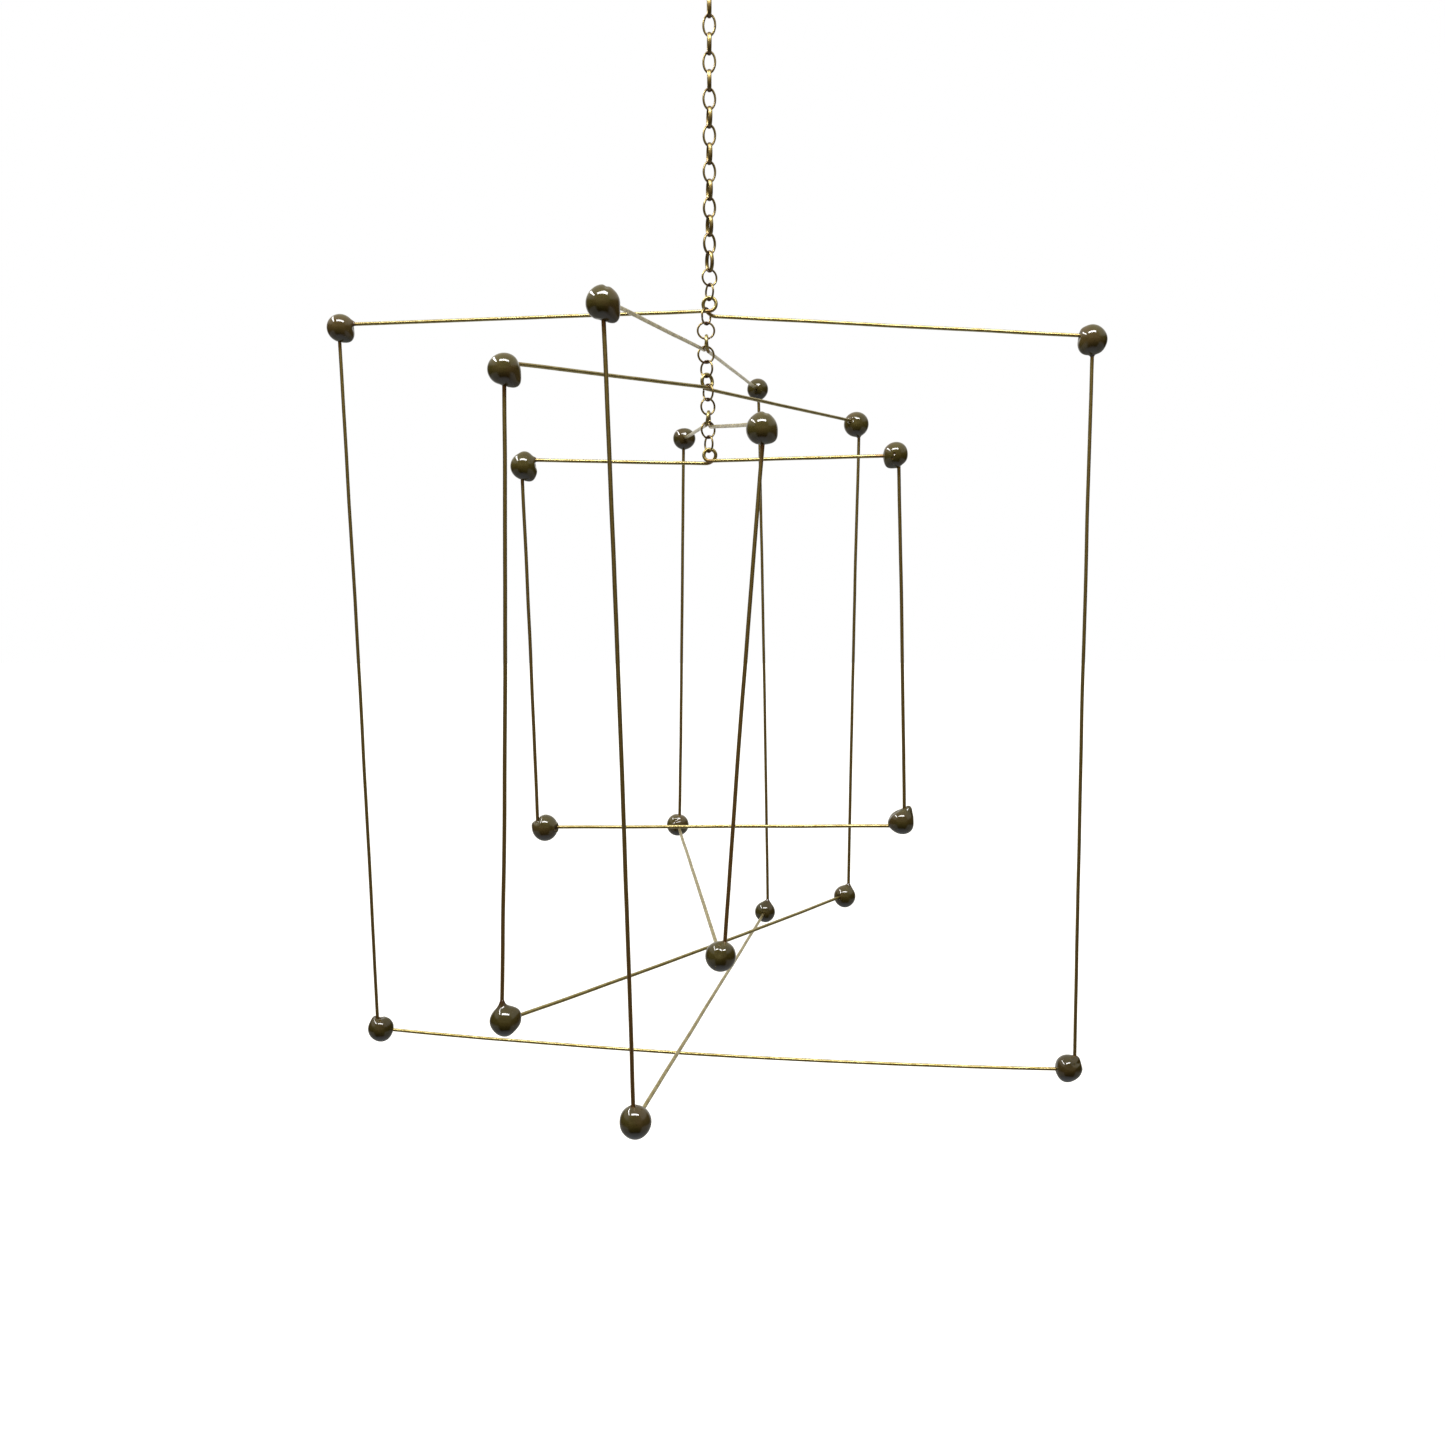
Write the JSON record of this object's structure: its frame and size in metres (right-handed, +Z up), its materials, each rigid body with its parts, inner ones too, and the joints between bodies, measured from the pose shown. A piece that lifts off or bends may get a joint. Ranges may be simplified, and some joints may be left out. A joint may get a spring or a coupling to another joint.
{
  "type": "hanging mobile",
  "caption": "Hanging mobile of nested wire rectangles that share one axis, with a glazed bead on every corner, strung on jump rings below a chain with a hanging ring.",
  "frame": {"origin": "the point inside the hanging ring, at its top, where a ceiling hook bears; the whole mobile hangs below it", "axes": "+Z up along the chain; -Y to the front, where the outer frame faces within eight degrees; +X to the right seen from the front"},
  "size_m": [0.3469, 0.3107, 0.5136],
  "materials": {
    "brass_wire": "bare drawn wire, slightly uneven and tarnished, darker at the bends",
    "brass_chain": "antiqued, dark in the hollows and bright on the edges",
    "bead_glaze": "smooth glossy olive-brown glaze over an uneven hand-rolled body"
  },
  "bodies": {
    "root": {"hanging_ring": "brass_chain", "hanging_chain": "brass_chain", "outer_upper_jump_ring": "brass_chain", "outer_lower_jump_ring": "brass_chain", "outer_top_wire": "brass_wire", "outer_left_wire": "brass_wire", "outer_right_wire": "brass_wire", "outer_bottom_wire": "brass_wire", "outer_top_left_bead": "bead_glaze", "outer_top_right_bead": "bead_glaze", "outer_bottom_left_bead": "bead_glaze", "outer_bottom_right_bead": "bead_glaze", "second_upper_jump_ring": "brass_chain", "second_lower_jump_ring": "brass_chain", "second_top_wire": "brass_wire", "second_left_wire": "brass_wire", "second_right_wire": "brass_wire", "second_bottom_wire": "brass_wire", "second_top_left_bead": "bead_glaze", "second_top_right_bead": "bead_glaze", "second_bottom_left_bead": "bead_glaze", "second_bottom_right_bead": "bead_glaze", "third_upper_jump_ring": "brass_chain", "third_lower_jump_ring": "brass_chain", "third_top_wire": "brass_wire", "third_left_wire": "brass_wire", "third_right_wire": "brass_wire", "third_bottom_wire": "brass_wire", "third_top_left_bead": "bead_glaze", "third_top_right_bead": "bead_glaze", "third_bottom_left_bead": "bead_glaze", "third_bottom_right_bead": "bead_glaze", "fourth_upper_jump_ring": "brass_chain", "fourth_lower_jump_ring": "brass_chain", "fourth_top_wire": "brass_wire", "fourth_left_wire": "brass_wire", "fourth_right_wire": "brass_wire", "fourth_bottom_wire": "brass_wire", "fourth_top_left_bead": "bead_glaze", "fourth_top_right_bead": "bead_glaze", "fourth_bottom_left_bead": "bead_glaze", "fourth_bottom_right_bead": "bead_glaze", "inner_upper_jump_ring": "brass_chain", "inner_lower_jump_ring": "brass_chain", "inner_top_wire": "brass_wire", "inner_left_wire": "brass_wire", "inner_right_wire": "brass_wire", "inner_bottom_wire": "brass_wire", "inner_top_left_bead": "bead_glaze", "inner_top_right_bead": "bead_glaze", "inner_bottom_left_bead": "bead_glaze", "inner_bottom_right_bead": "bead_glaze"}
  },
  "joints": []
}
